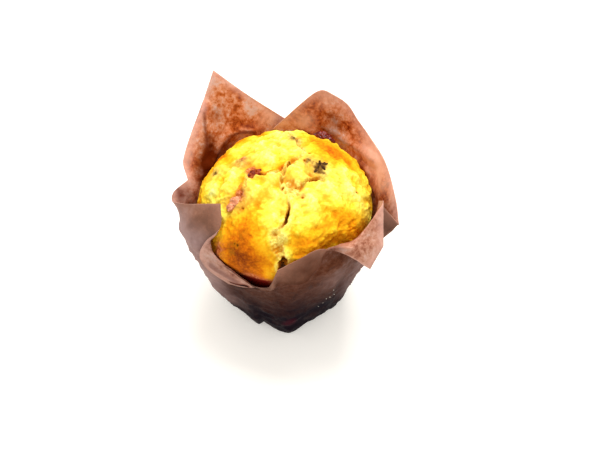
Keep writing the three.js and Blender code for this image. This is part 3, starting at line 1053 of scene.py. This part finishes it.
@dataclass(frozen=True)
class Split:
    """A split in the crust: its path in plan, with the half width and depth at each point.

    left and right are how far the crust swells on either side, looking along the path, dark is how
    much shade is painted inside the split, and gold how well its right side is baked.
    """

    path: tuple[tuple[float, float, float, float], ...]
    left: float
    right: float
    reach: float = 5.0
    dark: float = 0.3
    gold: float = 0.0

    def near(self, x: float, y: float) -> tuple[float, float, float, float]:
        """Reads the split at a point in plan.

        Args:
            x: place to the right.
            y: place to the back.

        Returns:
            How many half widths away the point is, the depth of the split there, and the swell and the
            toasting beside it.
        """
        best, depth, lip, gold = math.inf, 0.0, 0.0, 0.0
        for (ax, ay, aw, ad), (bx, by, bw, bd) in zip(self.path, self.path[1:]):
            dx, dy = bx - ax, by - ay
            share = min(1.0, max(0.0, ((x - ax) * dx + (y - ay) * dy) / (dx * dx + dy * dy)))
            ox, oy = x - ax - share * dx, y - ay - share * dy
            away = math.hypot(ox, oy)
            ratio = away / lerp(aw, bw, share)
            if ratio < best:
                best, depth = ratio, lerp(ad, bd, share)
                on_left = dx * oy > dy * ox
                lip = (self.left if on_left else self.right) * bell(away, self.reach) * min(1.0, depth / 1.5)
                gold = 0.0 if on_left else self.gold * bell(away, 1.2 * self.reach)
        return best, depth, lip, gold


SPLITS: dict[str, Split] = {
    "front": Split(
        (
            (2.9, -14, 0.3, 0.6), (2.5, -17.8, 0.3, 1.6), (2.5, -21, 0.42, 3.6), (1.6, -23.6, 0.42, 3.4),
            (-0.2, -26.6, 0.6, 1.5), (-2.6, -29, 1.3, 1.3), (-1.8, -32, 1.3, 1.1), (-0.5, -34.2, 1, 1.2),
            (0.5, -36, 1.6, 3.4), (1, -37.4, 1.2, 1.6),
        ),
        left=0.6, right=0.6, dark=0.95,
    ),
    "left": Split(
        (
            (2, -1, 0.6, 1.5), (0.5, -4.8, 0.45, 2.4), (-3.8, -5.1, 0.45, 2.6), (-8.1, -4, 0.5, 2.6),
            (-11.3, -3.4, 1.1, 2.4), (-13.2, -5, 0.8, 2.2), (-14.2, -8.5, 0.4, 1.3),
            (-14.8, -11.5, 0.4, 0.9), (-17, -14, 0.6, 0.5),
        ),
        left=2, right=1.5, dark=0.4, gold=0.5,
    ),
    "centre": Split(
        (
            (0.5, -4.8, 0.5, 1.8), (-0.9, -8.5, 0.5, 1.6), (-1, -11, 0.5, 1.6), (0.8, -13.2, 0.5, 1.8),
            (2.9, -14, 0.4, 1.2),
        ),
        left=-0.3, right=1.3, dark=0.2,
    ),
    "right": Split(
        (
            (5.5, -10.2, 0.4, 0.5), (6.7, -9.5, 0.5, 1.4), (9.4, -7, 0.6, 2), (11.8, -4.8, 0.6, 2.2),
            (14.5, -4.9, 0.5, 1.6), (16.5, -6.2, 0.4, 0.5),
        ),
        left=1.2, right=0.4, reach=4, dark=0.6,
    ),
    "back": Split(
        (
            (3.3, 21.3, 1.4, 1.6), (5.5, 17.8, 1.2, 1.4), (6.5, 13, 0.5, 0.8), (7.9, 8.9, 0.6, 1.2),
            (5.5, 5, 0.4, 0.9), (3.2, 1.5, 0.6, 2), (2, -1, 0.8, 2.8),
        ),
        left=0.1, right=0.8,
    ),
}

LUMPS: tuple[Patch, ...] = (
    (-5, 7, 11, 1.2), (-11, 7, 5, 0.6), (1, 5, 5, 0.5), (-23, -6, 8, 1.3), (-23, -1.5, 2.6, -0.9),
    (-7, -10, 6, 0.9), (-7.7, -16, 8, 1), (-12, -28, 9, 1.3), (9, -17, 7, 0.9), (24, -5, 9, 1),
    (20, -18, 8, 1), (10, -29, 6, 1.3), (5, -9, 4, -1.2), (17, 14, 9, 0.6), (-15.5, -19, 3, -0.6),
    (14, -20, 3.5, -0.5),
)
# The patch at (34, -10) takes toast away: painted light on the right edge of the crust.
TOAST: tuple[Patch, ...] = (
    (-14, -38, 12, 0.6), (-21, -30, 9, 0.3), (-13, -24, 10, 0.5), (10, -30, 8, 0.4), (17, -23, 8, 0.25),
    (24, -19, 9, 0.36), (34, -10, 7, -0.18), (19, 14, 12, 0.62), (27, 10, 9, 0.3), (12, 23, 9, 0.35),
    (-34, -6, 6, 0.32), (-32, 4, 5, 0.35), (-27, 10, 7, 0.4), (-1, -2.6, 4, 0.25), (-19, 23, 7, 0.55),
    (-26, 15, 6, 0.4), (-9, 29, 6, 0.4), (-23, -1.5, 3, 0.3),
)
SMOOTH: tuple[Patch, ...] = (
    (18, 14, 12, 1), (-18, 23, 9, 1), (-27, 13, 8, 0.9), (-32, 3, 5, 0.7), (-6, 30, 7, 0.7),
    (-13, -32, 10, 0.8), (30, -8, 8, 0.5), (11, -29, 6, 0.4), (24, -18, 8, 0.4),
)
BROKEN: tuple[Patch, ...] = (
    (5, -9, 6, 1), (3, -12, 4, 0.7), (11, -3.5, 4, 0.7), (8.5, 6.5, 4, 0.5), (4.5, 18.5, 4.5, 0.9),
    (-2, -29.5, 4, 0.9), (1.5, -30, 3, 0.5), (0.5, -36.5, 3.5, 0.9),
)
RED: tuple[Patch, ...] = (
    (-16.8, 5, 4.4, 0.8), (-12.5, -1.2, 4.2, 0.95), (-17, -13.4, 6, 0.9), (-26, -28, 3.4, 1.1),
    (15.5, 29, 5, 1.2),
)
# The patch at (-27.5, 3.5) is painted shade at the crust's left edge, beside the wrap; the others are stains.
PURPLE: tuple[Patch, ...] = (
    (14.6, 2.8, 2.8, 1.1), (14, 2, 6, 0.6), (8.7, 5.5, 3.5, 0.6), (5, -9, 4.5, 0.45), (8, -13.5, 2.4, 0.6),
    (4.5, 18, 4.2, 1), (7, 11.5, 3.5, 0.6), (15.5, -3, 4, 0.4), (-27.5, 3.5, 3.5, 0.7),
)
SPECKS: tuple[Plan, ...] = (
    (29.7, -6.2), (-18.2, -29.3), (-17.2, -29.9), (-15.4, -17.6), (-6.2, -1.9), (10.7, 9), (8.7, 4.8),
    (0.2, -10.3), (7.8, -14.3), (5.2, -9.6), (2.2, -0.4), (2.7, 0.5), (5.4, 16.6), (7.2, 12), (12.2, -4.6),
    (13.4, -4.9),
)


CRUST_MARKS = ("toast", "crumb", "pit_shade", "depth", "red", "purple")


@dataclass
class Muffin:
    """The baked muffin: a domed, split crust over a plain body that stands in the wrap."""

    gap: float = 0.85
    foot_radius: float = 26
    foot_bend: float = 6.5
    shoulder_radius: float = 38
    shoulder_height: float = 62
    dome_radius: float = 37
    dome_height: float = 20.5
    dome_power: float = 2.1
    flats: tuple[Polar, ...] = ((303, 24, 3.6), (150, 28, 5.5), (233, 20, -0.95))
    flats_from: float = 44
    grid: int = 270
    side_heights: tuple[float, ...] = (61.2, 59.5, 57.5, 54, 44, 24, 7.3, 0.85)
    # Heights over which the side's dark red, which is juice and painted shade, fades out.
    red_heights: Plan = (52.5, 56)
    notch_at: float = 251
    notch_spread: float = 12
    notch_rise: float = 3.5

    def recess(self, x: float, y: float) -> float:
        """How far the crust's edge falls short of its round outline, or passes it, towards a point."""
        toward = math.degrees(math.atan2(y, x))
        return sum(depth * bell(turn_to(azimuth, toward), spread) for azimuth, spread, depth in self.flats)

    def relief(self, place: Vector) -> tuple[float, dict[str, float]]:
        """Reads the crust at a point of the smooth dome.

        Args:
            place: the point, in millimetres.

        Returns:
            The height above the dome, and the marks that the finish reads.
        """
        x, y = place.x, place.y

        def patches(items: tuple[Patch, ...]) -> float:
            """Sum of soft patches at the point."""
            return sum(size * bell(math.hypot(x - px, y - py), reach) for px, py, reach, size in items)

        wobble, sway = grain(place, 4.5, 3, 5.2), grain(place, 4.5, 3, 7.7)
        jag = grain(place, 1.3, 2, 1.4)
        rise = patches(LUMPS) + 0.6 * grain(place, 9, 3, 2.7) - 0.7
        crumb, depth, baked = 0.0, 0.0, 0.0
        for split in SPLITS.values():
            ratio, deep, lip, gold = split.near(x + 0.8 * wobble + 0.3 * jag, y + 0.8 * sway - 0.3 * jag)
            inside = 1 - ease(ratio, 0.3, 1.2)
            shaded = 1 - ease(ratio, 0.5, 1.4)
            rise += lip - deep * inside
            baked += gold
            crumb = max(crumb, 1 - ease(ratio + 0.4 * jag, 0.9, 2.2))
            # Painted shade inside the split, by how deep it is.
            depth = max(depth, split.dark * shaded * ease(deep, 0.9, 3.4))
        crumb = max(crumb, ease(patches(BROKEN) + 0.3 * wobble + 0.15 * jag, 0.35, 0.75))
        radius = math.hypot(x, y) / self.dome_radius
        calm = min(1.0, patches(SMOOTH) + 0.5 * ease(radius, 0.7, 1.0))
        rough = lerp(1 - 0.65 * calm, 1.5, crumb)
        warped = place + Vector((wobble, sway, jag))
        cobble, clod, speckle = bumps(warped, 5.6), bumps(warped, 2.3), bumps(place, 1.0)
        hollow = ease(-grain(place, 6.5, 4, 3.9), 0.02, 0.5) * rough
        rise += rough * (1.35 * cobble + 0.6 * clod + 0.22 * speckle - 0.85) - 0.9 * hollow
        pit = 1 - (0.5 * cobble + 0.35 * clod + 0.15 * speckle)
        # Toast rises in the pits and hollows as painted shade between the lumps, over a little random mottle.
        mottle_and_pit_shade = 0.05 * wobble + 0.3 * (1 - 0.6 * calm) * (pit - 0.4) + 0.16 * hollow
        toast = 0.1 + baked + patches(TOAST) + 0.22 * ease(radius, 0.78, 1.0) + mottle_and_pit_shade
        speck = max(bell(math.hypot(x - px, y - py) + 0.3 * jag, 0.75) for px, py in SPECKS)
        rise -= 0.7 * speck
        marks = {
            "toast": toast * (1 - 0.5 * crumb),
            "crumb": 0.75 * crumb,
            # Painted shade in the pits between lumps.
            "pit_shade": min(1.0, 0.7 * rough * ease(pit, 0.5, 0.92)),
            # depth: painted shade in the splits and crumb pits, and the real dark specks.
            "depth": max(0.95 * depth, 0.35 * crumb * ease(pit, 0.6, 0.95), 0.9 * speck),
            "red": min(0.95, patches(RED) * (1 + 0.8 * wobble + 0.3 * jag)),
            "purple": min(0.95, patches(PURPLE) * (1 + 1.1 * wobble + 0.6 * jag)),
        }
        return rise, marks

    def dome(self, u: float, v: float) -> Vector:
        """Rounds a square into the smooth dome.

        Args:
            u: place across the square, from -1 to 1.
            v: place along it, from -1 to 1.

        Returns:
            The point of the dome, in millimetres.
        """
        if abs(u) < 1e-9 and abs(v) < 1e-9:
            radius, angle = 0.0, 0.0
        elif abs(u) >= abs(v):
            radius, angle = u, math.pi / 4 * v / u
        else:
            radius, angle = v, math.pi / 2 - math.pi / 4 * u / v
        share = abs(radius)
        lean = (1 - share) * math.pi / 2
        out = self.dome_radius * math.cos(lean) ** (2 / self.dome_power) * (1 if radius >= 0 else -1)
        height = self.shoulder_height + self.dome_height * math.sin(lean) ** (2 / self.dome_power)
        x, y = out * math.cos(angle), out * math.sin(angle)
        pull = 1 - self.recess(x, y) / self.dome_radius * ease(share, 0.55, 1.0)
        return Vector((x * pull, y * pull, height))

    def draw_down(self, body: bmesh.types.BMesh, red: bmesh.types.BMLayerItem) -> None:
        """Draws the dome's edge down into the wrap, paints the side dark red lower down, which is juice and
        painted shade of the gap inside the wrap, and closes the foot.

        Args:
            body: the dome.
            red: the layer of its red marks.
        """
        edge = [e for e in body.edges if e.is_boundary]
        for height in self.side_heights:
            made = bmesh.ops.extrude_edge_only(body, edges=edge)["geom"]
            edge = [e for e in made if isinstance(e, bmesh.types.BMEdge) and e.is_boundary]
            cone = lerp(self.foot_radius, self.shoulder_radius, height / self.shoulder_height) - self.gap
            tuck = self.foot_bend * (1 - min(1.0, (height - self.gap) / self.foot_bend)) * 0.6
            for vert in {v for e in edge for v in e.verts}:
                shy = self.recess(vert.co.x, vert.co.y) * ease(height, self.flats_from, self.shoulder_height)
                scale = (cone - tuck - shy) / math.hypot(vert.co.x, vert.co.y)
                vert.co = Vector((vert.co.x * scale, vert.co.y * scale, height))
                turn = turn_to(self.notch_at, math.degrees(math.atan2(vert.co.y, vert.co.x)))
                rise = self.notch_rise * bell(turn, self.notch_spread)
                # Darker red lower down the side and higher at the notch: juice, and painted shade of the gap
                # inside the wrap.
                vert[red] = max(vert[red], 1.5 * (1 - ease(height - rise, *self.red_heights)))
        bmesh.ops.holes_fill(body, edges=edge, sides=0)

    def build(self) -> Object:
        """Shapes the dome from a grid and gives it its relief, its side and its foot.

        Returns:
            The muffin.
        """
        body = bmesh.new()
        bmesh.ops.create_grid(body, x_segments=self.grid, y_segments=self.grid, size=1)
        layers = {name: body.verts.layers.float.new(name) for name in CRUST_MARKS}
        inward = {vert: 1 - max(abs(vert.co.x), abs(vert.co.y)) for vert in body.verts}
        for vert in body.verts:
            vert.co = self.dome(vert.co.x, vert.co.y)
        body.normal_update()
        shifts = []
        for vert in body.verts:
            rise, marks = self.relief(vert.co)
            free = ease(inward[vert], 0.0, 0.14)
            shifts.append(vert.normal * (rise * free + min(rise, 0.2) * (1 - free)))
            for name, value in marks.items():
                vert[layers[name]] = value
        for vert, shift in zip(body.verts, shifts):
            vert.co += shift
        soften(body, [vert for vert in body.verts if not vert.is_boundary], 0.4)
        self.draw_down(body, layers["red"])
        bmesh.ops.recalc_face_normals(body, faces=body.faces)
        piece = as_object("muffin_crust", body, CrustFinish().material())
        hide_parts("muffin")
        return piece


@dataclass
class Fruit:
    """One piece of fruit baked into the crust: its half sizes, its turn in plan and how far it is sunk.

    A burst piece has points, like a star.
    """

    node: str
    kind: FruitKind
    half: tuple[float, float, float]
    turn: float = 0.0
    sink: float = 0.0
    ragged: float = 0.2
    points: int = 0
    point_length: float = 0.32
    dome_from: float = 60.0

    def build(self, crust: Object) -> Object:
        """Shapes a lumpy piece in the place of its solid, sunk into the crust.

        Args:
            crust: the finished muffin.

        Returns:
            The piece of fruit.
        """
        low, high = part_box(self.node)
        solid = (low + high) / 2
        dome = [vert for vert in crust.data.vertices if vert.co.z > self.dome_from * MM]
        top = min(dome, key=lambda vert: (vert.co - solid).xy.length_squared)
        middle = Vector((solid.x, solid.y, top.co.z)) / MM - Vector((0, 0, self.sink))
        spin = Matrix.Rotation(math.radians(self.turn), 3, "Z")
        shape = bmesh.new()
        bmesh.ops.create_icosphere(shape, subdivisions=5, radius=1)
        for vert in shape.verts:
            place = Vector(s * h for s, h in zip(vert.co, self.half))
            lumps = grain(place + middle, 2.4, 3) + 0.25 * grain(place + middle, 0.8, 2, 4.4)
            swell = 1 + self.ragged * lumps
            if self.points:
                swell *= 1 + self.point_length * math.cos(self.points * math.atan2(place.y, place.x))
            vert.co = spin @ (place * swell) + middle
        piece = as_object(self.node + "_flesh", shape, self.kind.value.material())
        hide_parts(self.node)
        return piece


FRUITS: tuple[Fruit, ...] = (
    Fruit("fruit_left", FruitKind.RED, (4.0, 2.6, 2.3), turn=32, sink=0.2, ragged=0.35),
    Fruit("fruit_streak", FruitKind.STREAK, (4.8, 2.2, 1.5), turn=43, sink=1.3, ragged=0.45),
    Fruit("fruit_right", FruitKind.PURPLE, (2.3, 2.0, 1.5), turn=20, sink=1.4, ragged=0.9, points=5),
    Fruit("fruit_back", FruitKind.JAM, (5.0, 2.2, 2.4), turn=152, sink=-1.2, ragged=0.3),
    Fruit("fruit_front", FruitKind.SUNK, (2.4, 1.6, 1.6), sink=1.4, ragged=0.5),
)


@dataclass
class Crumbs:
    """A few crumbs that cling to the wrap."""

    places: tuple[Polar, ...] = (
        (302.3, 31.5, 24.8), (304.2, 32.1, 28.8), (307.1, 32.0, 28.9),
        (312.5, 31.5, 26.8), (299.5, 31.0, 21.5), (309.0, 33.0, 33.0),
    )
    radius: float = 0.2

    def build(self, wrap: Object) -> Object:
        """Sets each crumb on the nearest place of the wrap.

        Args:
            wrap: the finished wrap.

        Returns:
            The crumbs, as one piece.
        """
        shape = bmesh.new()
        for number, place in enumerate(self.places):
            target = polar(*place) * MM
            spot = min(wrap.data.vertices, key=lambda vert: (vert.co - target).length_squared)
            size = self.radius * (0.7 + 0.5 * (number * 0.37 % 1))
            at = Matrix.Translation(spot.co / MM + spot.normal * 0.6 * size)
            bmesh.ops.create_icosphere(shape, subdivisions=2, radius=size, matrix=at)
        for vert in shape.verts:
            vert.co += Vector((0.08, 0.08, 0.08)) * grain(vert.co, 0.4, 2)
        return as_object("crumbs", shape, LOOSE_CRUMB.material())


@dataclass
class Studio:
    """Pale floor, soft lights and the camera."""

    aim: Spot = (6.7, 0, 45.8)
    distance: float = 260
    elevation: float = 51
    focal: float = 590
    image_width: float = 600
    sensor: float = 36
    floor_half: float = 3000
    table_glow: float = 0.36
    key_place: Spot = (40, 160, 525)
    key_size: float = 240
    key_power: float = 2.6
    room_light: float = 0.9

    def floor(self) -> Object:
        """Lays a wide pale floor.

        Returns:
            The floor.
        """
        shape = bmesh.new()
        bmesh.ops.create_grid(shape, x_segments=8, y_segments=8, size=self.floor_half * MM)
        mesh = bpy.data.meshes.new("floor")
        shape.to_mesh(mesh)
        shape.free()
        n = Nodes("pale_floor")
        tone = n.shades(n.noise(120, 2), (0.3, "f0ebe2"), (0.7, "f5f1ea"))
        shader = n.add(
            "ShaderNodeBsdfPrincipled",
            Base_Color=tone,
            Roughness=0.7,
            Emission_Color=tone,
            Emission_Strength=self.table_glow,
        )
        mesh.materials.append(n.surface(shader.outputs["BSDF"]))
        piece = show("floor", mesh)
        return piece

    def lamp(self, name: str, place: Spot, size: float, power: float) -> None:
        """Hangs a square soft light that faces the part.

        Args:
            name: the light's name.
            place: where it hangs, in millimetres.
            size: width of its face, in millimetres.
            power: its power in watts.
        """
        light = bpy.data.lights.new(name, "AREA")
        light.shape = "SQUARE"
        light.size = size * MM
        light.energy = power
        holder = show(name, light)
        holder.location = Vector(place) * MM
        holder.rotation_euler = (Vector(place) - Vector(self.aim)).to_track_quat("Z", "Y").to_euler()

    def camera(self) -> None:
        """Sets up the camera at the viewing angle."""
        lens = bpy.data.cameras.new("camera")
        lens.sensor_width = self.sensor
        lens.lens = self.focal / self.image_width * self.sensor
        lens.clip_start = 0.01
        holder = show("camera", lens)
        lean = math.radians(self.elevation)
        back = Vector((0, -math.cos(lean), math.sin(lean)))
        holder.location = (Vector(self.aim) + back * self.distance) * MM
        holder.rotation_euler = back.to_track_quat("Z", "Y").to_euler()
        bpy.context.scene.camera = holder

    def build(self) -> None:
        """Sets the stage."""
        self.floor()
        self.camera()
        self.lamp("key", self.key_place, self.key_size, self.key_power)
        scene = bpy.context.scene
        scene.world = bpy.data.worlds.new("room")
        scene.world.use_nodes = True
        room = scene.world.node_tree.nodes["Background"]
        room.inputs["Color"].default_value = (1.0, 1.0, 1.0, 1.0)
        room.inputs["Strength"].default_value = self.room_light
        scene.view_settings.view_transform = "Standard"


def main() -> None:
    """Builds and dresses every piece."""
    logging.basicConfig(level=logging.INFO, format="%(name)s %(message)s")
    Studio().build()
    LOG.info("stage set")
    wrap = PaperCase().build()
    crust = Muffin().build()
    for fruit in FRUITS:
        fruit.build(crust)
    Crumbs().build(wrap)
    LOG.info("boxes noted")


if __name__ == "__main__":
    main()
